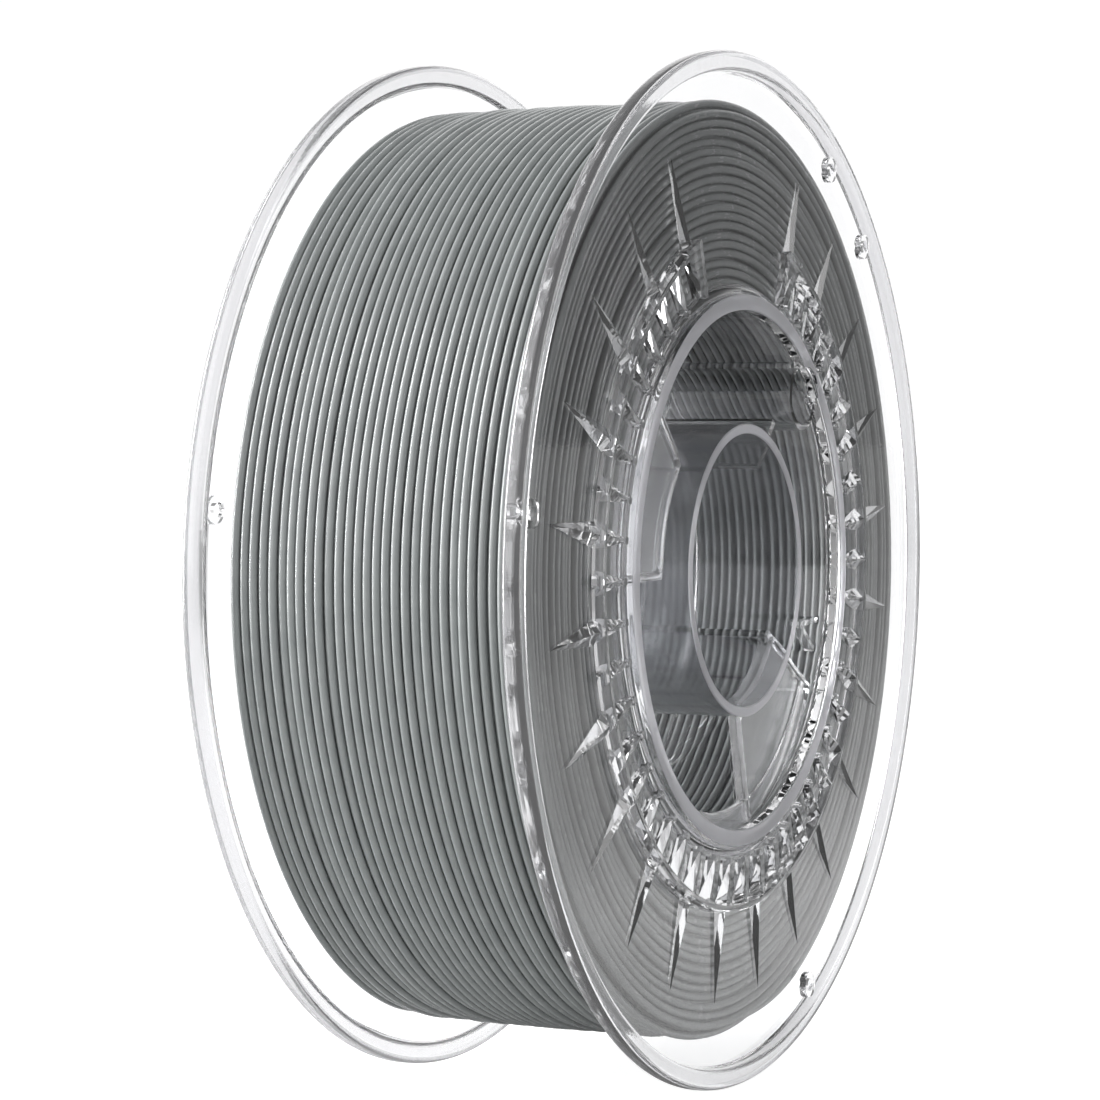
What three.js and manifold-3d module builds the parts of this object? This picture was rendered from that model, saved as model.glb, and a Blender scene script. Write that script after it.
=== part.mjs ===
// Clear two-piece filament spool, wound with 1.75 mm filament.
// Millimetres, +Z up. The spool's axis is Y, and the origin is the centre of the bore at mid-width.
// The front flange faces -Y. The rear half is the front half's mirror image across the plane Y = 0.
// Angles are in degrees round the Y axis: 0 is straight up and 90 points along +X.
import * as THREE from 'three';
import { ConvexGeometry } from 'three/addons/geometries/ConvexGeometry.js';
import { mergeVertices } from 'three/addons/utils/BufferGeometryUtils.js';
import Module from 'manifold-3d';

const wasm = await Module();
wasm.setup();

// ---- driving dimensions ----
const FLANGE_D = 200;            // across the rims
const WIDTH = 66.2;              // over both rims
const BORE_D = 53;               // for the shaft of a spool holder
const TUBE_WALL = 1.9;           // bore tube
const DRUM_D = 109;              // outside of the drum that carries the filament
const DRUM_WALL = 2.2;
const LIP_WALL = 4.2;            // thick end ring of the drum
const LIP_LENGTH = 3.7;
const LIP_CHAMFER = 1.2;
const RIM_RADIAL = 4;            // bead round the edge of each flange
const RIM_ROUND = 1.3;           // rounding of the bead's corners
const DISC_THICK = 1.2;
const DISC_INSIDE = 29.7;        // inner face of each flange, from mid-width
const GAP = 0.3;                 // clearance between neighbouring solids
const WOUND_D = 181.6;           // outside of the wound filament
const WOUND_HALF_WIDTH = 29.3;
const WOUND_BEVEL = 0.9;         // the outermost turns' roundness

// hub
const RIB_THICK = 1.5;
const FLOOR_THICK = 2;
const FLOOR_DEPTH = 5.5;         // pocket floors, below the rim's outer plane
const POCKETS = { left: [270, 315], lower: [120, 165] };
const BOSS_ANGLE = 42.8;
const BOSS_R = 46.5;
const BOSS_D = 14;
const BOSS_WALL = 1.2;
const BOSS_DEPTH = 1.2;
const CLIP_ANGLE = 107;          // V-shaped clip that holds the filament's inner end
const CLIP_SPREAD = 3.5;
const CLIP_APEX_R = 43.5;
const CLIP_ARM = 1;

// star pattern in relief on each flange
const STAR_PITCH = 15;           // degrees from spike to spike
const WINDOW_HALF = 22.5;        // half angle of the plain window at the top
const SPIKE_TIP_R = 84.5;
const SPIKE_HALF_WIDTH = 3;
const FIN_HALF_WIDTH = 2.5;
const FIN_TIP_HALF_WIDTH = 0.5;
const CROWN_R = [64.8, 66];      // ring that the spikes and fins stand on
const CROWN_BITE = 0.4;          // how far they run into it
const FIN_TIP_R = 55.5;
const FIN_TIP_DROP = 0.5;

// eyelets for the filament's free end
const EYELET_ANGLES = [30, 45, 157.5, 278];
const EYELET_R = 93.2;
const EYELET_D = 5.2;
const EYELET_HOLE_D = 2.6;
const EYELET_HEIGHT = 1.4;       // above the disc's outer face

// ---- values worked out from them ----
const HALF = WIDTH / 2;
const DISC_OUTSIDE = DISC_INSIDE + DISC_THICK;
const RIM_IN = FLANGE_D / 2 - RIM_RADIAL;
const DRUM_OUT = DRUM_D / 2;
const DRUM_IN = DRUM_OUT - DRUM_WALL;
const LIP_IN = DRUM_OUT - LIP_WALL;
const BORE_R = BORE_D / 2;
const TUBE_OUT = BORE_R + TUBE_WALL;
const FLOOR_TOP = HALF - FLOOR_DEPTH;
const MID_GAP = GAP / 2;         // each half stops this far from mid-width
const STAR_BASE = DISC_OUTSIDE + GAP;
const SEGMENTS = 72;             // facets round a rim
const HUB_SEGMENTS = 48;
const SMALL_SEGMENTS = 16;
const POCKET_SEGMENTS = 7;
const FACET_FIT = 1 / Math.cos(Math.PI / SEGMENTS);
const ARC_MIDDLE = 1 - Math.SQRT1_2; // where the middle of a rounded corner lies

// ---- materials ----
const clearPlastic = () => new THREE.MeshStandardMaterial({
  color: 0xdde2ea, roughness: 0.06, metalness: 0, transparent: true, opacity: 0.35,
});
const greyFilament = () => new THREE.MeshStandardMaterial({
  color: 0x7f8786, roughness: 0.4, metalness: 0,
});

// ---- geometry helpers ----
const radians = (degrees) => THREE.MathUtils.degToRad(degrees);

// A point of the front half: angle and radius round the axis, and distance out from mid-width.
const at = (angle, radius, out, sideways = 0) => {
  const a = radians(angle);
  const x = radius * Math.sin(a) + sideways * Math.cos(a);
  const z = radius * Math.cos(a) - sideways * Math.sin(a);
  return new THREE.Vector3(x, -out, z);
};

const toSolid = (geometry) => {
  const bare = geometry.index ? geometry.toNonIndexed() : geometry.clone();
  bare.deleteAttribute('normal');
  bare.deleteAttribute('uv');
  const merged = mergeVertices(bare, 1e-4);
  return new wasm.Manifold(new wasm.Mesh({
    numProp: 3,
    vertProperties: new Float32Array(merged.attributes.position.array),
    triVerts: new Uint32Array(merged.index.array),
  }));
};

const toGeometry = (solid) => {
  const mesh = solid.getMesh();
  const geometry = new THREE.BufferGeometry();
  geometry.setAttribute('position', new THREE.BufferAttribute(mesh.vertProperties, 3));
  geometry.setIndex(new THREE.BufferAttribute(mesh.triVerts, 1));
  return geometry;
};

// A ring round the axis. The profile is a closed loop of [radius, distance out] pairs that runs
// from the inner edge outwards along its side nearest to mid-width first.
const ring = (profile, segments = HUB_SEGMENTS) => {
  const loop = [...profile, profile[0]].map(([radius, out]) => new THREE.Vector2(radius, -out));
  return new THREE.LatheGeometry(loop.reverse(), segments, Math.PI / segments);
};

const plainRing = (inner, outer, from, to, segments = HUB_SEGMENTS) => (
  ring([[inner, from], [outer, from], [outer, to], [inner, to]], segments)
);

// A round bar or hole parallel to the axis.
const bar = (angle, radius, diameter, from, to) => {
  const cylinder = new THREE.CylinderGeometry(diameter / 2, diameter / 2, to - from, SMALL_SEGMENTS);
  const centre = at(angle, radius, (from + to) / 2);
  return cylinder.translate(centre.x, centre.y, centre.z);
};

// A flat wall that stands along a radius.
const radialWall = (angle, inner, outer, from, to) => {
  const wall = new THREE.BoxGeometry(RIB_THICK, to - from, outer - inner);
  wall.translate(0, -(from + to) / 2, (inner + outer) / 2);
  return wall.rotateY(radians(angle));
};

// A flat plate between two angles and two radii.
const sectorPlate = (start, end, inner, outer, from, to, segments) => {
  const shape = new THREE.Shape();
  const a = radians(90 - start);
  const b = radians(90 - end);
  shape.absarc(0, 0, outer, a, b, true);
  shape.absarc(0, 0, inner, b, a, false);
  shape.closePath();
  const plate = new THREE.ExtrudeGeometry(shape, {
    depth: to - from, bevelEnabled: false, curveSegments: segments,
  });
  return plate.rotateX(Math.PI / 2).translate(0, -from, 0);
};

const mirrored = (geometry) => {
  const flipped = geometry.index ? geometry.toNonIndexed() : geometry.clone();
  flipped.applyMatrix4(new THREE.Matrix4().makeScale(1, -1, 1));
  const position = flipped.attributes.position;
  for (let i = 0; i < position.count; i += 3) {
    const second = new THREE.Vector3().fromBufferAttribute(position, i + 1);
    const third = new THREE.Vector3().fromBufferAttribute(position, i + 2);
    position.setXYZ(i + 1, third.x, third.y, third.z);
    position.setXYZ(i + 2, second.x, second.y, second.z);
  }
  return flipped;
};

// ---- flange ----
const rim = () => {
  const outer = (FLANGE_D / 2) * FACET_FIT;
  const r = RIM_ROUND;
  return ring([
    [RIM_IN, DISC_INSIDE],
    [outer - r, DISC_INSIDE],
    [outer, DISC_INSIDE + r],
    [outer, HALF - r],
    [outer - ARC_MIDDLE * r, HALF - ARC_MIDDLE * r],
    [outer - r, HALF],
    [RIM_IN + r, HALF],
    [RIM_IN, HALF - r],
  ], SEGMENTS);
};

const flangeDisc = () => {
  let disc = toSolid(
    plainRing(DRUM_OUT + GAP, RIM_IN - GAP, DISC_INSIDE, DISC_OUTSIDE, SEGMENTS),
  );
  for (const angle of EYELET_ANGLES) {
    const collar = bar(angle, EYELET_R, EYELET_D - GAP, DISC_INSIDE, DISC_OUTSIDE + EYELET_HEIGHT);
    disc = disc.add(toSolid(collar));
  }
  for (const angle of EYELET_ANGLES) {
    const hole = bar(angle, EYELET_R, EYELET_HOLE_D, DISC_INSIDE - 1, HALF + 1);
    disc = disc.subtract(toSolid(hole));
  }
  return toGeometry(disc);
};

// One spike: a roof-shaped wedge that starts at the crown and dies out near the filament's edge.
const spike = (angle) => new ConvexGeometry([
  at(angle, SPIKE_TIP_R, STAR_BASE),
  at(angle, CROWN_R[0] + CROWN_BITE, STAR_BASE, SPIKE_HALF_WIDTH),
  at(angle, CROWN_R[0] + CROWN_BITE, STAR_BASE, -SPIKE_HALF_WIDTH),
  at(angle, CROWN_R[0] + CROWN_BITE, HALF),
]);

// One fin of the crown: the same roof shape, narrowing inwards to a small block beside the lip.
const fin = (angle) => new ConvexGeometry([
  at(angle, CROWN_R[0] + CROWN_BITE, STAR_BASE, FIN_HALF_WIDTH),
  at(angle, CROWN_R[0] + CROWN_BITE, STAR_BASE, -FIN_HALF_WIDTH),
  at(angle, CROWN_R[0] + CROWN_BITE, HALF),
  at(angle, FIN_TIP_R, STAR_BASE, FIN_TIP_HALF_WIDTH),
  at(angle, FIN_TIP_R, STAR_BASE, -FIN_TIP_HALF_WIDTH),
  at(angle, FIN_TIP_R, HALF - FIN_TIP_DROP, FIN_TIP_HALF_WIDTH),
  at(angle, FIN_TIP_R, HALF - FIN_TIP_DROP, -FIN_TIP_HALF_WIDTH),
]);

const starRelief = () => {
  const first = WINDOW_HALF;
  const last = 360 - WINDOW_HALF;
  const steps = (last - first) / STAR_PITCH;
  let star = toSolid(
    sectorPlate(first, last, CROWN_R[0], CROWN_R[1], STAR_BASE, HALF, steps),
  );
  for (let angle = first; angle <= last; angle += STAR_PITCH / 2) {
    star = star.add(toSolid(fin(angle)));
  }
  for (let angle = first; angle <= last; angle += STAR_PITCH) {
    star = star.add(toSolid(spike(angle)));
  }
  return toGeometry(star);
};

// ---- hub ----
const drum = () => ring([
  [DRUM_IN, MID_GAP],
  [DRUM_OUT, MID_GAP],
  [DRUM_OUT, HALF - LIP_CHAMFER],
  [DRUM_OUT - LIP_CHAMFER, HALF],
  [LIP_IN, HALF],
  [LIP_IN, HALF - LIP_LENGTH],
  [DRUM_IN, HALF - LIP_LENGTH],
]);

const boreTube = () => plainRing(BORE_R, TUBE_OUT, MID_GAP, HALF);

const pocketFloor = ([start, end]) => {
  const halfWall = THREE.MathUtils.radToDeg((RIB_THICK / 2 + GAP) / TUBE_OUT);
  return sectorPlate(
    start + halfWall, end - halfWall, TUBE_OUT + GAP, DRUM_IN - GAP,
    FLOOR_TOP - FLOOR_THICK, FLOOR_TOP, POCKET_SEGMENTS,
  );
};

const pocketRib = (angle) => (
  radialWall(angle, TUBE_OUT + GAP, DRUM_IN - 2 * GAP, MID_GAP, FLOOR_TOP)
);

const boss = () => {
  const top = HALF - BOSS_DEPTH;
  const outside = toSolid(bar(BOSS_ANGLE, BOSS_R, BOSS_D, MID_GAP, top));
  const inside = toSolid(bar(BOSS_ANGLE, BOSS_R, BOSS_D - 2 * BOSS_WALL, MID_GAP - 1, HALF + 1));
  const drumSpace = toSolid(plainRing(LIP_IN - GAP, DRUM_OUT + BOSS_D, MID_GAP - 1, HALF + 1));
  return toGeometry(outside.subtract(inside).subtract(drumSpace));
};

const bossRib = () => (
  radialWall(BOSS_ANGLE, TUBE_OUT + GAP, BOSS_R - BOSS_D / 2 - GAP, MID_GAP, FLOOR_TOP)
);

const clipArm = (side) => {
  const apex = at(CLIP_ANGLE, CLIP_APEX_R, 0);
  const end = at(CLIP_ANGLE + side * CLIP_SPREAD, DRUM_IN - 2 * GAP, 0);
  const along = end.clone().sub(apex);
  const arm = new THREE.BoxGeometry(CLIP_ARM, FLOOR_THICK, along.length());
  arm.rotateY(Math.atan2(along.x, along.z));
  return arm.translate((apex.x + end.x) / 2, -(FLOOR_TOP - FLOOR_THICK / 2), (apex.z + end.z) / 2);
};

const startClip = () => toGeometry(toSolid(clipArm(1)).add(toSolid(clipArm(-1))));

// ---- filament ----
const winding = () => {
  const w = WOUND_HALF_WIDTH;
  return ring([
    [DRUM_OUT + 2 * GAP, -w],
    [WOUND_D / 2 - WOUND_BEVEL, -w],
    [WOUND_D / 2, -w + WOUND_BEVEL],
    [WOUND_D / 2, w - WOUND_BEVEL],
    [WOUND_D / 2 - WOUND_BEVEL, w],
    [DRUM_OUT + 2 * GAP, w],
  ], SEGMENTS);
};

// ---- assembly ----
const spool = new THREE.Group();

const addPiece = (name, geometry, material) => {
  const mesh = new THREE.Mesh(geometry, material);
  mesh.name = name;
  spool.add(mesh);
};

const halfPieces = [
  ['rim', rim()],
  ['flange_disc', flangeDisc()],
  ['star_relief', starRelief()],
  ['drum', drum()],
  ['bore_tube', boreTube()],
  ['left_pocket_floor', pocketFloor(POCKETS.left)],
  ['left_pocket_rib_low', pocketRib(POCKETS.left[0])],
  ['left_pocket_rib_high', pocketRib(POCKETS.left[1])],
  ['lower_pocket_floor', pocketFloor(POCKETS.lower)],
  ['lower_pocket_rib_high', pocketRib(POCKETS.lower[0])],
  ['lower_pocket_rib_low', pocketRib(POCKETS.lower[1])],
  ['joining_boss', boss()],
  ['joining_boss_rib', bossRib()],
];

for (const [name, geometry] of halfPieces) {
  addPiece(`front_${name}`, geometry, clearPlastic());
  addPiece(`rear_${name}`, mirrored(geometry), clearPlastic());
}
addPiece('filament_start_clip', startClip(), clearPlastic());
addPiece('filament_winding', winding(), greyFilament());

export default spool;
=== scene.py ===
"""Looks of the clear filament spool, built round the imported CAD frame.

Metres throughout; MM turns the millimetre values below into metres. The spool's axis is Y and the front
flange faces -Y. "out" is a distance from mid-width along the axis, and angles are in degrees round the
axis, 0 straight up and 90 along +X, as in the CAD source.
"""

import math
import random

import bmesh
import bpy
from mathutils import Matrix, Vector, noise


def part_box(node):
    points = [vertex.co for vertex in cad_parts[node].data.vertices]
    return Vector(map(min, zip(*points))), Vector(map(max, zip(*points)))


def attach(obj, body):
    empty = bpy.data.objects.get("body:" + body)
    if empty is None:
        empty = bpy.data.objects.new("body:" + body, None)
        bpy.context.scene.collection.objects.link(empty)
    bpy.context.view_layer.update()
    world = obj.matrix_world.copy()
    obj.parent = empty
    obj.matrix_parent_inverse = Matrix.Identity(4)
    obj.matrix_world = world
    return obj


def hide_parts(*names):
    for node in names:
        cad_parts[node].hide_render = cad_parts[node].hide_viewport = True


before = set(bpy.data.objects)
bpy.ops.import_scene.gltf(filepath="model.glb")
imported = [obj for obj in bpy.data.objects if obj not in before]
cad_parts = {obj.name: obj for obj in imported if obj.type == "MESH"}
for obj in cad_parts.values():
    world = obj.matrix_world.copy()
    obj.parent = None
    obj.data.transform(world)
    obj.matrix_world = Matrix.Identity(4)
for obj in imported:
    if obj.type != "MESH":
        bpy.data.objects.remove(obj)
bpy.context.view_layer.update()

MM = 0.001


# ---- places and sizes that come from the frame ----
def reach(node):
    """Smallest and largest distance of a CAD node's corners from the axis."""
    radii = [math.hypot(v.co.x, v.co.z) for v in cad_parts[node].data.vertices]
    return min(radii), max(radii)


def bearing(node):
    """Angle round the axis of the middle of a CAD node's box."""
    low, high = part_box(node)
    middle = (low + high) / 2
    return math.degrees(math.atan2(middle.x, middle.z))


FLANGE_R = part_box("front_rim")[1].x
HALF = -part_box("front_rim")[0].y
DISC_INSIDE = -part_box("front_flange_disc")[1].y
RIM_IN = reach("front_rim")[0]
LIP_IN, DRUM_OUT = reach("front_drum")
BORE_R, TUBE_OUT = reach("front_bore_tube")
FIN_TIP_R, SPIKE_TIP_R = reach("front_star_relief")
WOUND_IN, WOUND_R = reach("filament_winding")
WOUND_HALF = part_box("filament_winding")[1].y
BOSS_TOP = -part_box("front_joining_boss")[0].y
EYELET_TOP = -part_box("front_flange_disc")[0].y
FLOOR_TOP = -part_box("front_left_pocket_floor")[0].y

# ---- details of the moulding ----
DISC_THICK = 1.2 * MM
DISC_OUTSIDE = DISC_INSIDE + DISC_THICK
DRUM_WALL = 2.2 * MM
DRUM_IN = DRUM_OUT - DRUM_WALL
LIP_LENGTH = 3.7 * MM
LIP_FLAT_R = 53.4 * MM
LIP_FOOT_R = 55.4 * MM
EDGE_ROUND = 0.25 * MM          # rounding of the lip's edges
RIM_ROUND = 1.25 * MM
HALF_JOINT = 0.05 * MM          # the two halves meet with a hairline between them
SINK = 0.25 * MM                # relief runs this far into what it stands on
RELIEF_BASE = DISC_OUTSIDE - SINK
CROWN_R = (64.7 * MM, 66.4 * MM)
CROWN_BITE = 0.4 * MM           # fins run this far into the crown, and spikes start there
RELIEF_FOOT_R = CROWN_R[0] + CROWN_BITE
SPIKE_RISE = 1.35 * MM          # ridge height where a spike meets the crown
SPIKE_HALF = 3.0 * MM
WINDOW_SPIKE_HALF = 3.4 * MM    # the two spikes beside the plain window are wider
FIN_HALF = 2.5 * MM
FIN_TIP_HALF = 0.6 * MM
FIN_RIDGE_HALF = 0.3 * MM
FIN_DROP = 0.45 * MM            # a fin's tip is this much lower than the rim
COLLAR_RISE = 0.8 * MM
POST_HALF = 3.3 * MM
POST_LEAN = 2.2                 # degrees that a window post's inner end leans into the window
STAR_PITCH = 15.0               # from spike to spike; fins stand twice as close
WINDOW_HALF = 22.5
EYELET_ANGLES = (30.0, 45.0, 157.5, 278.0)
EYELET_R = 93.2 * MM
EYELET_OUT_R = 2.6 * MM
EYELET_HOLE_R = 1.35 * MM
BOSS_ANGLE = 42.8
BOSS_R = 46.5 * MM
BOSS_OUT_R = 7.0 * MM
BOSS_WALL = 1.2 * MM
RIB_HALF = 0.75 * MM
FLOOR_THICK = 2.0 * MM
POCKET_SLOT = 0.5 * MM          # the pocket floors stop this far from the bore tube
POCKET_CORNER = 2.4 * MM
CORNER_STEPS = 6
BEAD_R = 0.75 * MM              # rounded edge of a pocket floor
LEDGE_IN = 47.2 * MM
LEDGE_END = 206.0
CLIP_ANGLE = 107.0
CLIP_APEX_R = 43.5 * MM
CLIP_SPREAD = 3.5
CLIP_ARM_HALF = 0.5 * MM
CLIP_DEPTH = 2 * MM

# ---- filament ----
FILAMENT_R = 0.82 * MM
INNER_FILAMENT_R = 0.78 * MM
SIDE_FILAMENT_R = 0.80 * MM
ENDS_ANGLE = 180.0              # each layer starts and ends at the bottom, out of the photo's sight
DIVE = 0.06                     # share of a turn over which an end sinks into the winding
DIVE_DEPTH = 2.2                # how deep it sinks, in radii of the thread
TURNS = 31
LOOSE = 6                       # turns that lie loosely, at the rear end
LAYERS = 20
OUTER_SAG = 0.6 * MM            # the most that a turn of the outer layer sinks
WANDER = 0.10 * MM              # unevenness along a turn
RECESS = 1.0 * MM               # the most that an end turn is set back, not counting its waves


# ---- mesh helpers ----
def at(angle, radius, out, sideways=0.0):
    """A point of the front half."""
    a = math.radians(angle)
    x = radius * math.sin(a) + sideways * math.cos(a)
    z = radius * math.cos(a) - sideways * math.sin(a)
    return Vector((x, -out, z))


def finish_mesh(bm, name):
    bmesh.ops.recalc_face_normals(bm, faces=bm.faces)
    mesh = bpy.data.meshes.new(name)
    bm.to_mesh(mesh)
    bm.free()
    return mesh


def arc(centre_r, centre_out, radius, start, end, steps):
    """Points of a profile's round stretch, as (radius, out) pairs; angles in degrees."""
    points = []
    for i in range(steps + 1):
        a = math.radians(start + (end - start) * i / steps)
        points.append((centre_r + radius * math.cos(a), centre_out + radius * math.sin(a)))
    return points


def lathe(profile, segments, start=0.0, sweep=360.0):
    """A closed loop of (radius, out) pairs swept round the axis."""
    bm = bmesh.new()
    full = sweep >= 360.0
    rows = segments if full else segments + 1
    rings = []
    for i in range(rows):
        angle = start + sweep * i / segments
        rings.append([bm.verts.new(at(angle, r, out)) for r, out in profile])
    count = len(profile)
    for i in range(segments):
        first = rings[i]
        second = rings[(i + 1) % rows]
        for j in range(count):
            k = (j + 1) % count
            bm.faces.new((first[j], first[k], second[k], second[j]))
    if not full:
        bm.faces.new(rings[0])
        bm.faces.new(rings[-1])
    return bm


def hull(points):
    bm = bmesh.new()
    for point in points:
        bm.verts.new(point)
    bmesh.ops.convex_hull(bm, input=bm.verts)
    return bm


def bar(angle, radius, bar_r, low, high, sides=48):
    """A round bar parallel to the axis."""
    centre = at(angle, radius, 0)
    bm = bmesh.new()
    ends = []
    for out in (low, high):
        ring = []
        for i in range(sides):
            a = 2 * math.pi * i / sides
            offset = Vector((bar_r * math.cos(a), -out, bar_r * math.sin(a)))
            ring.append(bm.verts.new(centre + offset))
        ends.append(ring)
    for i in range(sides):
        j = (i + 1) % sides
        bm.faces.new((ends[0][i], ends[0][j], ends[1][j], ends[1][i]))
    bm.faces.new(ends[0])
    bm.faces.new(ends[1])
    return bm


def radial_wall(angle, inner, outer, low, high, half_inner=RIB_HALF, half_outer=RIB_HALF):
    return hull([
        at(angle, r, out, side * half)
        for r, half in ((inner, half_inner), (outer, half_outer))
        for out in (low, high)
        for side in (-1, 1)
    ])


def joined(parts):
    """Several closed shapes that don't touch, as one object to fuse on."""
    whole = bmesh.new()
    for part in parts:
        mesh = finish_mesh(part, "part")
        whole.from_mesh(mesh)
        bpy.data.meshes.remove(mesh)
    return whole


def as_object(bm, name):
    obj = bpy.data.objects.new(name, finish_mesh(bm, name))
    bpy.context.scene.collection.objects.link(obj)
    return obj


def apply_modifiers(obj):
    bpy.context.view_layer.update()
    graph = bpy.context.evaluated_depsgraph_get()
    mesh = bpy.data.meshes.new_from_object(obj.evaluated_get(graph))
    obj.modifiers.clear()
    old = obj.data
    obj.data = mesh
    bpy.data.meshes.remove(old)


def combine(obj, bm, operation="UNION"):
    """Fuses a shape onto obj, or cuts it away."""
    tool = as_object(bm, "tool")
    modifier = obj.modifiers.new("combine", "BOOLEAN")
    modifier.operation = operation
    modifier.solver = "MANIFOLD"
    modifier.object = tool
    apply_modifiers(obj)
    bpy.data.objects.remove(tool)


def shade(obj, angle=27.0):
    """Smooth shading, but flat on faces square to the axis and crisp at edges sharper than the angle."""
    bm = bmesh.new()
    bm.from_mesh(obj.data)
    limit = math.radians(angle)
    for face in bm.faces:
        face.smooth = abs(face.normal.y) < 0.9999
    for edge in bm.edges:
        edge.smooth = len(edge.link_faces) == 2 and edge.calc_face_angle(0.0) < limit
    bm.to_mesh(obj.data)
    bm.free()


# ---- clear halves ----
def flange_body():
    """Drum, lip, disc and rim bead of one half, as one turned shape."""
    r = RIM_ROUND
    small = EDGE_ROUND
    inner_step = HALF - LIP_LENGTH
    profile = [(DRUM_IN, HALF_JOINT), (DRUM_IN, inner_step - 0.6 * MM)]
    profile += [(DRUM_IN - 0.2 * MM, inner_step - 0.1 * MM)]
    profile += [(LIP_IN + 0.5 * MM, inner_step + 0.25 * MM)]
    profile += [(LIP_IN, inner_step + 0.8 * MM)]
    profile += arc(LIP_IN + small, HALF - small, small, 180, 90, 4)
    profile += arc(LIP_FLAT_R - small, HALF - small, small, 90, 20, 4)
    foot = LIP_FOOT_R - LIP_FLAT_R
    drop = HALF - DISC_OUTSIDE
    for i in range(1, 7):
        a = math.radians(15 * i)
        out = DISC_OUTSIDE + (drop - small) * (1 - math.sin(a))
        profile.append((LIP_FLAT_R + foot * (1 - math.cos(a)), out))
    profile += [(RIM_IN - 0.5 * MM, DISC_OUTSIDE), (RIM_IN - 0.1 * MM, DISC_OUTSIDE + 0.15 * MM)]
    profile += [(RIM_IN, DISC_OUTSIDE + 0.5 * MM)]
    profile += arc(RIM_IN + r * 0.8, HALF - r * 0.8, r * 0.8, 180, 90, 6)
    profile += arc(FLANGE_R - r, HALF - r, r, 90, 0, 7)
    profile += arc(FLANGE_R - r, DISC_INSIDE + r, r, 0, -90, 7)
    profile += [(DRUM_OUT + 0.8 * MM, DISC_INSIDE), (DRUM_OUT + 0.15 * MM, DISC_INSIDE - 0.2 * MM)]
    profile += [(DRUM_OUT, DISC_INSIDE - 0.8 * MM), (DRUM_OUT, HALF_JOINT)]
    return lathe(profile, segments=288)


def spike(angle, half_width=SPIKE_HALF):
    """A ridge that runs out from the crown and down to a point on the disc."""
    return hull([
        at(angle, SPIKE_TIP_R, RELIEF_BASE),
        at(angle, SPIKE_TIP_R - 1.0 * MM, DISC_OUTSIDE + 0.05 * MM),
        at(angle, RELIEF_FOOT_R, RELIEF_BASE, half_width),
        at(angle, RELIEF_FOOT_R, RELIEF_BASE, -half_width),
        at(angle, RELIEF_FOOT_R, DISC_OUTSIDE + SPIKE_RISE),
    ])


def fin(angle):
    """A ridge that runs in from the crown to the collar."""
    tip = FIN_TIP_R + 0.7 * MM
    return hull([
        at(angle, RELIEF_FOOT_R, RELIEF_BASE, FIN_HALF),
        at(angle, RELIEF_FOOT_R, RELIEF_BASE, -FIN_HALF),
        at(angle, RELIEF_FOOT_R, HALF),
        at(angle, tip, RELIEF_BASE, FIN_TIP_HALF),
        at(angle, tip, RELIEF_BASE, -FIN_TIP_HALF),
        at(angle, tip, HALF - FIN_DROP, FIN_RIDGE_HALF),
        at(angle, tip, HALF - FIN_DROP, -FIN_RIDGE_HALF),
    ])


def hook(angle):
    """The small block at a fin's inner end."""
    return hull([
        at(angle, r, out, side * half)
        for r, half in ((FIN_TIP_R + 0.1 * MM, FIN_TIP_HALF), (FIN_TIP_R + 1.3 * MM, 0.75 * MM))
        for out in (RELIEF_BASE, HALF - 0.15 * MM)
        for side in (-1, 1)
    ])


def window_post(angle):
    """The tall prism that closes the star at each side of the plain window."""
    inward = 1 if angle > 180 else -1
    edge = angle + inward * POST_LEAN
    return hull([
        at(angle, CROWN_R[1] + 0.2 * MM, out, side)
        for out in (RELIEF_BASE, HALF)
        for side in (-POST_HALF, POST_HALF)
    ] + [
        at(edge, FIN_TIP_R, out, side)
        for out in (RELIEF_BASE, HALF - 0.3 * MM)
        for side in (-FIN_TIP_HALF, FIN_TIP_HALF)
    ])


def star_angles(step):
    count = int(round((360 - 2 * WINDOW_HALF) / step))
    return [WINDOW_HALF + step * i for i in range(count + 1)]


def collar():
    """The low ring that joins the fins' inner ends."""
    low = RELIEF_BASE
    high = DISC_OUTSIDE + COLLAR_RISE
    profile = [(FIN_TIP_R - 0.1 * MM, low), (FIN_TIP_R + 0.7 * MM, low)]
    profile += [(FIN_TIP_R + 0.7 * MM, high), (FIN_TIP_R - 0.1 * MM, high)]
    return lathe(profile, segments=126, start=WINDOW_HALF, sweep=360 - 2 * WINDOW_HALF)


def crown():
    """The ring that spikes and fins stand on; its outer wall leans in."""
    profile = [(CROWN_R[0], RELIEF_BASE), (CROWN_R[1], RELIEF_BASE)]
    profile += [(CROWN_R[1] - 0.55 * MM, HALF - 0.15 * MM), (CROWN_R[1] - 0.7 * MM, HALF)]
    profile += [(CROWN_R[0] + 0.15 * MM, HALF), (CROWN_R[0], HALF - 0.15 * MM)]
    return lathe(profile, segments=168, start=WINDOW_HALF, sweep=360 - 2 * WINDOW_HALF)


def pocket_ends(name):
    """Angles of the two ribs that close a pocket, the smaller first."""
    ribs = [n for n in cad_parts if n.startswith(f"front_{name}_rib")]
    return sorted(bearing(n) % 360 for n in ribs)


def corner_curve(rib, bend, inner, corner, leaving=False):
    """A pocket's rounded corner beside a rib: inwards along the rib, or back out along it when leaving."""
    points = []
    for i in range(CORNER_STEPS + 1):
        a = math.radians(90 - 15 * i if leaving else 15 * i)
        points.append((rib + bend * (1 - math.cos(a)), inner + corner * (1 - math.sin(a))))
    return points


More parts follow.
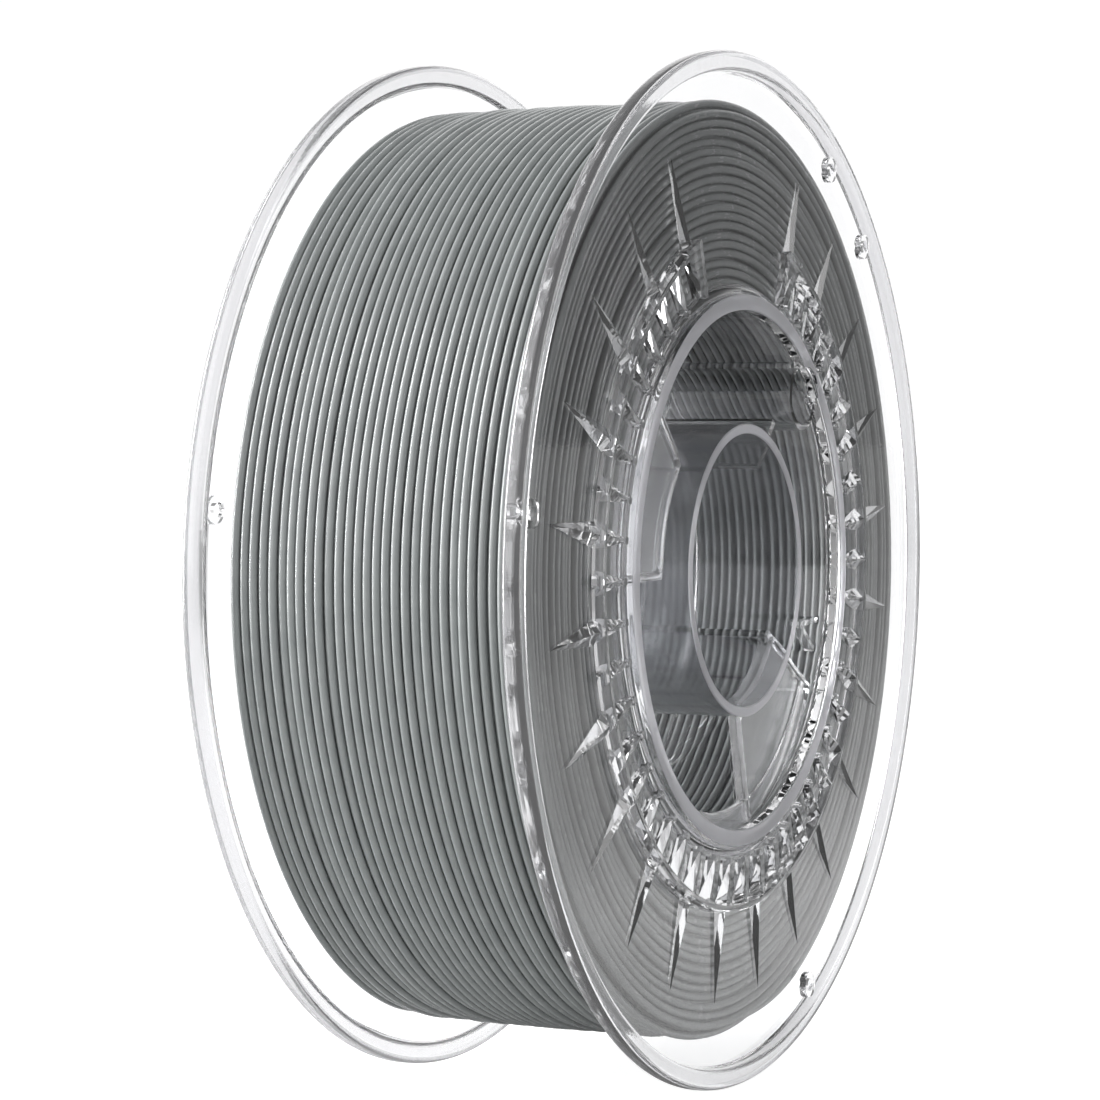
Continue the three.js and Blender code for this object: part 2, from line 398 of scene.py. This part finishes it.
def rounded_sector(start, end, inner, outer, corner, low, high):
    """A flat plate between two angles and two radii, with rounded corners at its inner edge."""
    steps = 24
    bend = math.degrees(corner / inner)
    outline = []
    for i in range(steps + 1):
        outline.append((start + (end - start) * i / steps, outer))
    outline += corner_curve(end, -bend, inner, corner)
    for i in range(1, steps):
        outline.append((end - bend + (start - end + 2 * bend) * i / steps, inner))
    outline += corner_curve(start, bend, inner, corner, leaving=True)
    bm = bmesh.new()
    faces = []
    for out in (low, high):
        faces.append([bm.verts.new(at(angle, radius, out)) for angle, radius in outline])
    count = len(outline)
    for i in range(count):
        j = (i + 1) % count
        bm.faces.new((faces[0][i], faces[0][j], faces[1][j], faces[1][i]))
    bm.faces.new(faces[0])
    bm.faces.new(faces[1])
    return bm


def pocket_bead(name):
    """The rounded edge of a pocket floor: in along one rib, past the tube and out along the other."""
    start, end = pocket_ends(name)
    steps = 24
    inner = TUBE_OUT + POCKET_SLOT + BEAD_R
    bend = math.degrees(POCKET_CORNER / inner)
    outline = [(start, DRUM_IN - BEAD_R), (start, (DRUM_IN + inner) / 2)]
    outline += corner_curve(start, bend, inner, POCKET_CORNER)
    for i in range(1, steps):
        outline.append((start + bend + (end - start - 2 * bend) * i / steps, inner))
    outline += corner_curve(end, -bend, inner, POCKET_CORNER, leaving=True)
    outline += [(end, (DRUM_IN + inner) / 2), (end, DRUM_IN - BEAD_R)]
    points = [at(angle, radius, FLOOR_TOP) for angle, radius in outline]
    return tube_along(points, sides=12, closed=False, radius=BEAD_R, facing=Vector((0, 1, 0)))


def pocket_floor(name):
    start, end = pocket_ends(name)
    over = math.degrees(RIB_HALF / TUBE_OUT)
    return rounded_sector(
        start - over, end + over, TUBE_OUT + POCKET_SLOT, DRUM_IN + SINK, POCKET_CORNER,
        FLOOR_TOP - FLOOR_THICK, FLOOR_TOP,
    )


def pocket_ledge():
    """The ledge inside the drum that borders the lower pocket."""
    start = pocket_ends("lower_pocket")[0] - 1
    low, high = FLOOR_TOP - 0.8 * MM, FLOOR_TOP + 0.5 * MM
    small = 0.3 * MM
    profile = [(LEDGE_IN, low), (DRUM_IN + SINK, low), (DRUM_IN + SINK, high)]
    profile += [(LEDGE_IN + small, high), (LEDGE_IN, high - small)]
    return lathe(profile, segments=64, start=start, sweep=LEDGE_END - start)


POCKET_RIBS = (
    "left_pocket_rib_low",
    "left_pocket_rib_high",
    "lower_pocket_rib_high",
    "lower_pocket_rib_low",
)


def clip_arm(side):
    """One arm of the V-shaped clip for the filament's start."""
    apex = at(CLIP_ANGLE, CLIP_APEX_R, 0)
    end = at(CLIP_ANGLE + side * CLIP_SPREAD, DRUM_IN + SINK, 0)
    along = (end - apex).normalized()
    across = Vector((along.z, 0, -along.x)) * CLIP_ARM_HALF
    return hull([
        point + across * s + Vector((0, -out, 0))
        for point in (apex, end)
        for s in (-1, 1)
        for out in (FLOOR_TOP - CLIP_DEPTH, FLOOR_TOP)
    ])


def add_star(obj):
    """Fuses crown, collar, fins, spikes, hooks and window posts onto a half."""
    spikes = star_angles(STAR_PITCH)
    fins = star_angles(STAR_PITCH / 2)
    window_edges = (WINDOW_HALF, 360 - WINDOW_HALF)
    combine(obj, crown())
    combine(obj, collar())
    combine(obj, joined([fin(a) for a in fins]))
    combine(obj, joined([spike(a) for a in spikes[1:-1]]))
    combine(obj, joined([spike(a, WINDOW_SPIKE_HALF) for a in window_edges]))
    combine(obj, joined([hook(a) for a in fins[1:-1]]))
    combine(obj, joined([window_post(a) for a in window_edges]))


def add_eyelets(obj):
    """Fuses the eyelets on and then bores them, two at a time."""
    pairs = (EYELET_ANGLES[0::2], EYELET_ANGLES[1::2])
    for angles in pairs:
        posts = [bar(a, EYELET_R, EYELET_OUT_R, DISC_INSIDE + SINK, EYELET_TOP) for a in angles]
        combine(obj, joined(posts))
    for angles in pairs:
        holes = [bar(a, EYELET_R, EYELET_HOLE_R, DISC_INSIDE - MM, HALF + MM, sides=32) for a in angles]
        combine(obj, joined(holes), "DIFFERENCE")


def add_hub(obj):
    """Fuses the pockets, their ribs and the open boss into the drum."""
    combine(obj, pocket_ledge())
    for pocket in ("left_pocket", "lower_pocket"):
        combine(obj, pocket_floor(pocket))
        combine(obj, pocket_bead(pocket))
    combine(obj, joined([
        radial_wall(bearing("front_" + rib), TUBE_OUT - SINK, DRUM_IN + SINK, HALF_JOINT, FLOOR_TOP)
        for rib in POCKET_RIBS
    ]))
    boss_near = BOSS_R - BOSS_OUT_R + BOSS_WALL / 2
    combine(obj, bar(BOSS_ANGLE, BOSS_R, BOSS_OUT_R, HALF_JOINT, BOSS_TOP, sides=64))
    combine(obj, radial_wall(BOSS_ANGLE, TUBE_OUT - SINK, boss_near, HALF_JOINT, FLOOR_TOP))
    boss_hole = bar(BOSS_ANGLE, BOSS_R, BOSS_OUT_R - BOSS_WALL, HALF_JOINT - MM, HALF + MM, sides=64)
    combine(obj, boss_hole, "DIFFERENCE")


def clear_half(name, with_clip):
    """One moulding without its bore tube."""
    obj = as_object(flange_body(), name)
    add_star(obj)
    add_eyelets(obj)
    add_hub(obj)
    if with_clip:
        combine(obj, clip_arm(1))
        combine(obj, clip_arm(-1))
    return obj


def bore_tube():
    small = 0.2 * MM
    profile = [(BORE_R, HALF_JOINT), (BORE_R, HALF - small), (BORE_R + small, HALF)]
    profile += [(TUBE_OUT - small, HALF), (TUBE_OUT, HALF - small), (TUBE_OUT, HALF_JOINT)]
    return lathe(profile, segments=192)


# places of the finishes in a half's list of materials; 0 is the plain clear one
RIM_FINISH, SATIN_FINISH, RELIEF_FINISH, HAZE_FINISH = 1, 2, 3, 4


def finish_faces(obj):
    """Gives the rim bead, the flat ends of lip and tube, the pocket floors and the star their own finish."""
    for face in obj.data.polygons:
        radius = math.hypot(face.center.x, face.center.z)
        out = abs(face.center.y)
        at_end = out > HALF - 0.3 * MM
        on_end_ring = BORE_R < radius < TUBE_OUT or LIP_IN < radius < LIP_FLAT_R
        on_floor = TUBE_OUT < radius < DRUM_IN and abs(out - FLOOR_TOP) < BEAD_R
        on_star = FIN_TIP_R - 0.2 * MM < radius < SPIKE_TIP_R and out > DISC_OUTSIDE + 0.02 * MM
        if radius > RIM_IN - 0.1 * MM:
            face.material_index = RIM_FINISH
        elif at_end and on_end_ring:
            face.material_index = SATIN_FINISH
        elif on_floor:
            face.material_index = HAZE_FINISH
        elif on_star:
            face.material_index = RELIEF_FINISH


def mirror(obj):
    """Turns a front piece into its rear twin."""
    obj.data.transform(Matrix.Diagonal((1, -1, 1, 1)))
    obj.data.flip_normals()


# ---- filament ----
def tube_along(points, sides, closed, radius=FILAMENT_R, facing=None):
    """A round thread through points; its section keeps one side away from the axis, or to facing."""
    bm = bmesh.new()
    rings = []
    count = len(points)
    for i, point in enumerate(points):
        before = points[i - 1] if (i or closed) else points[i]
        after = points[(i + 1) % count] if (i < count - 1 or closed) else points[i]
        along = (after - before).normalized()
        outward = facing or Vector((point.x, 0, point.z)).normalized()
        outward = (outward - along * outward.dot(along)).normalized()
        across = along.cross(outward)
        ring = []
        for j in range(sides):
            a = 2 * math.pi * j / sides
            offset = outward * math.cos(a) + across * math.sin(a)
            ring.append(bm.verts.new(point + offset * radius))
        rings.append(ring)
    steps = count if closed else count - 1
    for i in range(steps):
        first, second = rings[i], rings[(i + 1) % count]
        for j in range(sides):
            k = (j + 1) % sides
            bm.faces.new((first[j], first[k], second[k], second[j]))
    if not closed:
        bm.faces.new(rings[0])
        bm.faces.new(rings[-1])
    return bm


def ease(t):
    """Smooth step from 0 to 1."""
    return t * t * (3 - 2 * t)


def layer_places(half_width, thread_r):
    """Axial place of every turn of a layer, with uneven gaps.

    The higher the power, the more gaps are small, so that only the loose turns stand far apart.
    """
    gaps = [0.3 + random.random() ** (2 if i < LOOSE else 6) for i in range(TURNS - 1)]
    slack = 2 * half_width - 2 * thread_r * TURNS
    scale = slack / sum(gaps)
    places = [-half_width + thread_r]
    for gap in gaps:
        places.append(places[-1] + 2 * thread_r + gap * scale)
    return places


def layer(seed, radius, half_width, thread_r, segments, sides, sag, inward=1):
    """One wound layer: a helix whose turns lie unevenly, and whose two ends dive into the winding."""
    random.seed(seed)
    places = layer_places(half_width, thread_r)
    dips = [sag * random.random() ** (1.5 if i < LOOSE else 5) for i in range(TURNS)]
    points = []
    total = segments * (TURNS - 1)
    for i in range(total + 1):
        turn = i / segments
        k = min(int(turn), TURNS - 2)
        t = turn - k
        out = places[k] + (places[k + 1] - places[k]) * t
        dip = dips[k] + (dips[k + 1] - dips[k]) * ease(t)
        from_end = min(i, total - i) / (DIVE * segments)
        dive = DIVE_DEPTH * thread_r * ease(max(0.0, 1 - from_end))
        angle = ENDS_ANGLE + 360 * turn
        a = math.radians(angle)
        wave = noise.noise(Vector((math.sin(a) * 1.3, math.cos(a) * 1.3, k * 0.7 + seed)))
        points.append(at(angle, radius - inward * (dip + dive + WANDER * abs(wave)), out))
    return tube_along(points, sides, closed=False, radius=thread_r)


def side_rings(seed, side):
    """The end turns of all layers but the outermost, as seen through a flange."""
    segments = 144
    random.seed(seed)
    bm = bmesh.new()
    pitch = (WOUND_R - WOUND_IN) / LAYERS
    for i in range(LAYERS - 1):
        radius = WOUND_IN + FILAMENT_R + pitch * i + (random.random() - 0.5) * 0.22 * MM
        recess = RECESS * random.random() ** 2
        points = []
        for j in range(segments):
            angle = 360 * j / segments
            a = math.radians(angle)
            wave = noise.noise(Vector((math.sin(a) * 1.1, math.cos(a) * 1.1, i * 0.9 + seed)))
            lift = noise.noise(Vector((math.sin(a) * 1.4, math.cos(a) * 1.4, i * 1.7 + seed + 40)))
            out = WOUND_HALF - FILAMENT_R - recess - 0.3 * MM * abs(wave)
            points.append(at(angle, radius + 0.12 * MM * lift, side * out))
        ring = tube_along(points, sides=12, closed=True, radius=SIDE_FILAMENT_R)
        mesh = finish_mesh(ring, "ring")
        bm.from_mesh(mesh)
        bpy.data.meshes.remove(mesh)
    return bm


def core():
    """The mass of turns under the ones that show, as one plain ring."""
    inner = WOUND_IN + 1.5 * FILAMENT_R
    outer = WOUND_R - 2.2 * FILAMENT_R
    half = WOUND_HALF - 2.4 * FILAMENT_R
    return lathe([(inner, -half), (outer, -half), (outer, half), (inner, half)], segments=144)


# ---- materials ----
LAMP_SHARE = 0.93               # light that a clear surface lets through on its way from a lamp
POLYSTYRENE_IOR = 1.58
POLISH_SCALE = (60, 60, 60)
FLOW_SCALE = (240, 60, 240)     # flow marks run along the axis
TONE_SCALE = (45, 45, 45)
GRAIN_SCALE = (60, 900, 60)     # drawing marks run along the filament
DEEP_GREY = (0.275, 0.293, 0.294, 1)
PALE_GREY = (0.315, 0.333, 0.333, 1)


def new_material(name):
    material = bpy.data.materials.new(name)
    material.use_nodes = True
    nodes = material.node_tree.nodes
    shader = nodes["Principled BSDF"]
    return material, nodes, material.node_tree.links, shader


def streak_coordinates(nodes, links, scale):
    """Object coordinates, squeezed where the scale is high."""
    where = nodes.new("ShaderNodeTexCoord")
    stretch = nodes.new("ShaderNodeMapping")
    stretch.inputs["Scale"].default_value = scale
    links.new(where.outputs["Object"], stretch.inputs["Vector"])
    return stretch.outputs["Vector"]


def clear_plastic(name, low, high, bump, tint, clear=1.0):
    """Polystyrene, its roughness from low to high, with faint flow marks; clear is its transmission."""
    material, nodes, links, shader = new_material(name)
    shader.inputs["Base Color"].default_value = (*tint, 1)
    shader.inputs["Transmission Weight"].default_value = clear
    shader.inputs["IOR"].default_value = POLYSTYRENE_IOR
    vector = streak_coordinates(nodes, links, POLISH_SCALE)
    polish = nodes.new("ShaderNodeTexNoise")
    polish.inputs["Detail"].default_value = 3
    links.new(vector, polish.inputs["Vector"])
    spread = nodes.new("ShaderNodeMapRange")
    spread.inputs["From Min"].default_value = 0.35
    spread.inputs["From Max"].default_value = 0.7
    spread.inputs["To Min"].default_value = low
    spread.inputs["To Max"].default_value = high
    links.new(polish.outputs["Fac"], spread.inputs["Value"])
    links.new(spread.outputs["Result"], shader.inputs["Roughness"])
    flow = nodes.new("ShaderNodeTexNoise")
    flow.inputs["Detail"].default_value = 2
    links.new(streak_coordinates(nodes, links, FLOW_SCALE), flow.inputs["Vector"])
    dent = nodes.new("ShaderNodeBump")
    dent.inputs["Strength"].default_value = bump
    dent.inputs["Distance"].default_value = 0.2 * MM
    links.new(flow.outputs["Fac"], dent.inputs["Height"])
    links.new(dent.outputs["Normal"], shader.inputs["Normal"])
    # lamps shine through it, so that the filament behind is lit directly
    ray = nodes.new("ShaderNodeLightPath")
    clear_way = nodes.new("ShaderNodeBsdfTransparent")
    clear_way.inputs["Color"].default_value = (LAMP_SHARE, LAMP_SHARE, LAMP_SHARE, 1)
    either = nodes.new("ShaderNodeMixShader")
    links.new(ray.outputs["Is Shadow Ray"], either.inputs["Fac"])
    links.new(shader.outputs["BSDF"], either.inputs[1])
    links.new(clear_way.outputs["BSDF"], either.inputs[2])
    links.new(either.outputs["Shader"], nodes["Material Output"].inputs["Surface"])
    return material


def grey_filament():
    """Satin grey filament: faint drawing marks along it and a little variation in tone."""
    material, nodes, links, shader = new_material("grey_filament")
    vector = streak_coordinates(nodes, links, TONE_SCALE)
    tone = nodes.new("ShaderNodeTexNoise")
    tone.inputs["Detail"].default_value = 4
    links.new(vector, tone.inputs["Vector"])
    ramp = nodes.new("ShaderNodeValToRGB")
    ramp.color_ramp.elements[0].position = 0.3
    ramp.color_ramp.elements[0].color = DEEP_GREY
    ramp.color_ramp.elements[1].position = 0.7
    ramp.color_ramp.elements[1].color = PALE_GREY
    links.new(tone.outputs["Fac"], ramp.inputs["Fac"])
    links.new(ramp.outputs["Color"], shader.inputs["Base Color"])
    grain = nodes.new("ShaderNodeTexNoise")
    fine = streak_coordinates(nodes, links, GRAIN_SCALE)
    grain.inputs["Detail"].default_value = 3
    links.new(fine, grain.inputs["Vector"])
    spread = nodes.new("ShaderNodeMapRange")
    spread.inputs["To Min"].default_value = 0.23
    spread.inputs["To Max"].default_value = 0.30
    links.new(grain.outputs["Fac"], spread.inputs["Value"])
    links.new(spread.outputs["Result"], shader.inputs["Roughness"])
    dent = nodes.new("ShaderNodeBump")
    dent.inputs["Strength"].default_value = 0.01
    dent.inputs["Distance"].default_value = 0.05 * MM
    links.new(grain.outputs["Fac"], dent.inputs["Height"])
    links.new(dent.outputs["Normal"], shader.inputs["Normal"])
    return material


# ---- camera, as fitted to the outlines of both rims ----
CAMERA_YAW = math.radians(25.974)
CAMERA_PITCH = math.radians(1.982)
CAMERA_DISTANCE = 0.65516
CAMERA_RIGHT = -8.5675 * MM
CAMERA_UP = 3.4425 * MM
CAMERA_LENS = 108.19
CAMERA_SENSOR = 36
AWAY = Vector((math.cos(CAMERA_YAW), math.sin(CAMERA_YAW), 0))      # the level way that the camera looks


def make_camera():
    yaw, pitch = CAMERA_YAW, CAMERA_PITCH
    back = Vector((-math.cos(yaw) * math.cos(pitch), -math.sin(yaw) * math.cos(pitch), math.sin(pitch)))
    right = Vector((math.sin(yaw), -math.cos(yaw), 0))
    up = back.cross(right)
    data = bpy.data.cameras.new("camera")
    data.lens = CAMERA_LENS
    data.sensor_width = CAMERA_SENSOR
    data.clip_start = 0.01
    data.clip_end = 200
    camera = bpy.data.objects.new("camera", data)
    bpy.context.scene.collection.objects.link(camera)
    place = back * CAMERA_DISTANCE + right * CAMERA_RIGHT + up * CAMERA_UP
    turn = Matrix((right, up, back)).transposed()
    camera.matrix_world = Matrix.Translation(place) @ turn.to_4x4()
    bpy.context.scene.camera = camera


# ---- stage ----
def soft_light(name, direction, distance, width, height, power):
    data = bpy.data.lights.new(name, "AREA")
    data.shape = "RECTANGLE"
    data.size = width
    data.size_y = height
    data.energy = power
    lamp = bpy.data.objects.new(name, data)
    bpy.context.scene.collection.objects.link(lamp)
    toward = Vector(direction).normalized()
    lamp.location = toward * distance
    lamp.rotation_euler = toward.to_track_quat("Z", "Y").to_euler()


WHITE_LEVEL = 1.03           # what the camera sees past the object
BACKDROP_LEVEL = 1.3         # behind the object
SIDE_LEVEL = 0.34            # round it, at eye height
TOP_LEVEL = 0.30
WALL_LEVEL = 0.85            # pale wall in front of the front flange
DARK_LEVEL = 0.15            # dark side, which keeps reflections off the clear disc
FRONT_LEVEL = 1.95           # white wall that the winding faces
FLOOR_R = 40
FLOOR_GREY = (0.5, 0.5, 0.5, 1)
FLOOR_DIM = 0.06             # floor's glow as it lights or mirrors in the object
FLOOR_BRIGHT = 0.85          # and as the camera sees it, past the object or through it
FLOOR_FAN_START = 0.6        # what shows through the object is bright in a fan that starts this far in front
FLOOR_FAN = (14, 26)         # half angles of the fan: full within the first, gone past the second

# parts of the world: direction, full within so many degrees, gone past so many, level
WORLD_PATCHES = (
    (Vector((-0.35, -0.92, 0.10)), 16, 46, WALL_LEVEL),
    (Vector((-0.95, 0.22, 0.22)), 20, 55, FRONT_LEVEL),
    (Vector((0.90, -0.44, 0.0)), 12, 30, DARK_LEVEL),
    (AWAY, 30, 50, BACKDROP_LEVEL),
)


def blend_values(nodes, links, factor, first, second):
    """From the socket first at factor 0 to the number second at factor 1."""
    mix = nodes.new("ShaderNodeMix")
    links.new(factor, mix.inputs["Factor"])
    links.new(first, mix.inputs["A"])
    mix.inputs["B"].default_value = second
    return mix.outputs["Result"]


def world_patch(nodes, links, direction, toward, inner, outer):
    """1 within inner degrees of a direction, falling to 0 at outer degrees."""
    dot = nodes.new("ShaderNodeVectorMath")
    dot.operation = "DOT_PRODUCT"
    dot.inputs[1].default_value = toward
    links.new(direction, dot.inputs[0])
    fade = nodes.new("ShaderNodeMapRange")
    fade.interpolation_type = "SMOOTHSTEP"
    fade.inputs["From Min"].default_value = math.cos(math.radians(outer))
    fade.inputs["From Max"].default_value = math.cos(math.radians(inner))
    links.new(dot.outputs["Value"], fade.inputs["Value"])
    return fade.outputs["Result"]


def set_light_paths():
    """Standard colours, and enough bounces for light to get through the whole spool."""
    scene = bpy.context.scene
    scene.view_settings.view_transform = "Standard"
    scene.cycles.max_bounces = 28
    scene.cycles.transmission_bounces = 28
    scene.cycles.glossy_bounces = 12
    scene.cycles.caustics_refractive = False
    scene.cycles.caustics_reflective = False
    scene.cycles.transparent_max_bounces = 24


def make_world():
    world = bpy.data.worlds.new("studio")
    bpy.context.scene.world = world
    world.use_nodes = True
    nodes, links = world.node_tree.nodes, world.node_tree.links
    where = nodes.new("ShaderNodeTexCoord")
    direction = where.outputs["Generated"]
    split = nodes.new("ShaderNodeSeparateXYZ")
    links.new(direction, split.inputs["Vector"])
    sky = nodes.new("ShaderNodeMapRange")
    sky.inputs["From Min"].default_value = -0.1
    sky.inputs["From Max"].default_value = 0.9
    sky.inputs["To Min"].default_value = SIDE_LEVEL
    sky.inputs["To Max"].default_value = TOP_LEVEL
    links.new(split.outputs["Z"], sky.inputs["Value"])
    level = sky.outputs["Result"]
    for toward, inner, outer, value in WORLD_PATCHES:
        patch = world_patch(nodes, links, direction, toward, inner, outer)
        level = blend_values(nodes, links, patch, level, value)
    ray = nodes.new("ShaderNodeLightPath")
    level = blend_values(nodes, links, ray.outputs["Is Camera Ray"], level, WHITE_LEVEL)
    backdrop = nodes["Background"]
    backdrop.inputs["Color"].default_value = (1, 1, 1, 1)
    links.new(level, backdrop.inputs["Strength"])


def make_floor():
    """A grey floor that glows brightly only for the camera, past the object or through it."""
    bm = bmesh.new()
    bmesh.ops.create_circle(bm, cap_ends=True, segments=64, radius=FLOOR_R)
    floor = as_object(bm, "floor")
    floor.location.z = -FLANGE_R
    material, nodes, links, shader = new_material("floor")
    shader.inputs["Base Color"].default_value = FLOOR_GREY
    shader.inputs["Roughness"].default_value = 0.9
    shader.inputs["Emission Color"].default_value = (1, 1, 1, 1)
    place = nodes.new("ShaderNodeNewGeometry")
    from_foot = nodes.new("ShaderNodeVectorMath")
    from_foot.operation = "ADD"
    from_foot.inputs[1].default_value = AWAY * FLOOR_FAN_START + Vector((0, 0, FLANGE_R))
    links.new(place.outputs["Position"], from_foot.inputs[0])
    bearing_on_floor = nodes.new("ShaderNodeVectorMath")
    bearing_on_floor.operation = "NORMALIZE"
    links.new(from_foot.outputs["Vector"], bearing_on_floor.inputs[0])
    lit = world_patch(nodes, links, bearing_on_floor.outputs["Vector"], AWAY, *FLOOR_FAN)
    ray = nodes.new("ShaderNodeLightPath")
    through = nodes.new("ShaderNodeMath")
    through.operation = "MULTIPLY"
    links.new(ray.outputs["Is Transmission Ray"], through.inputs[0])
    links.new(lit, through.inputs[1])
    seen = nodes.new("ShaderNodeMath")
    seen.operation = "MAXIMUM"
    links.new(ray.outputs["Is Camera Ray"], seen.inputs[0])
    links.new(through.outputs["Value"], seen.inputs[1])
    glow = nodes.new("ShaderNodeMapRange")
    glow.inputs["To Min"].default_value = FLOOR_DIM
    glow.inputs["To Max"].default_value = FLOOR_BRIGHT
    links.new(seen.outputs["Value"], glow.inputs["Value"])
    links.new(glow.outputs["Result"], shader.inputs["Emission Strength"])
    floor.data.materials.append(material)


# ---- assembly ----
def place_piece(obj, slot, materials, *nodes):
    """Gives a piece its materials and its body, and hides the CAD nodes it stands for; slot is not used."""
    obj.data.materials.clear()
    for material in materials:
        obj.data.materials.append(material)
    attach(obj, "root")
    if nodes:
        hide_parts(*nodes)


make_camera()
set_light_paths()
make_world()
make_floor()
soft_light("left_softbox", (-0.30, 0.95, 0.14), distance=1.1, width=0.26, height=1.4, power=30)
soft_light("right_softbox", (0.50, -0.86, 0.12), distance=1.2, width=0.55, height=1.3, power=8)

CLEAR = clear_plastic("clear_plastic", 0.0, 0.03, 0.01, (0.99, 0.992, 1.0))
RIM = clear_plastic("clear_rim", 0.06, 0.16, 0.10, (0.80, 0.80, 0.82), clear=0.84)
SATIN = clear_plastic("satin_edge", 0.28, 0.36, 0.03, (0.42, 0.42, 0.45), clear=0.50)
RELIEF = clear_plastic("clear_relief", 0.02, 0.05, 0.04, (0.82, 0.825, 0.84), clear=0.94)
HAZE = clear_plastic("hazy_floor", 0.10, 0.16, 0.03, (0.93, 0.935, 0.95), clear=0.90)
FROSTED = clear_plastic("frosted_plastic", 0.06, 0.08, 0.02, (0.76, 0.765, 0.785))
GREY = grey_filament()

front_nodes = [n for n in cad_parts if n.startswith("front_") and "bore" not in n]
moulded = sorted(n.removeprefix("front_") for n in front_nodes)

for end in ("front", "rear"):
    half = clear_half(f"spool_{end}_half", with_clip=end == "front")
    tube = as_object(bore_tube(), f"bore_tube_{end}_half")
    if end == "rear":
        mirror(half)
        mirror(tube)
    shade(half)
    shade(tube)
    stands_for = [f"{end}_{n}" for n in moulded]
    if end == "front":
        stands_for.append("filament_start_clip")
    place_piece(half, "clear_plastic", (CLEAR, RIM, SATIN, RELIEF, HAZE), *stands_for)
    place_piece(tube, "frosted_plastic", (FROSTED, RIM, SATIN), f"{end}_bore_tube")
    finish_faces(half)
    finish_faces(tube)

outer_turns = layer(
    3, WOUND_R - FILAMENT_R, WOUND_HALF, FILAMENT_R, segments=240, sides=12, sag=OUTER_SAG,
)
inner_turns = layer(
    8, WOUND_IN + INNER_FILAMENT_R, WOUND_HALF, INNER_FILAMENT_R, segments=110, sides=10, sag=0.0, inward=-1,
)
outer = as_object(outer_turns, "filament_outer_layer")
inner = as_object(inner_turns, "filament_inner_layer")
front_turns = as_object(side_rings(21, 1), "filament_front_turns")
rear_turns = as_object(side_rings(34, -1), "filament_rear_turns")
middle = as_object(core(), "filament_core")
for thread in (outer, inner, front_turns, rear_turns, middle):
    shade(thread, 60)
    place_piece(thread, "grey_filament", (GREY,))
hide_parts("filament_winding")
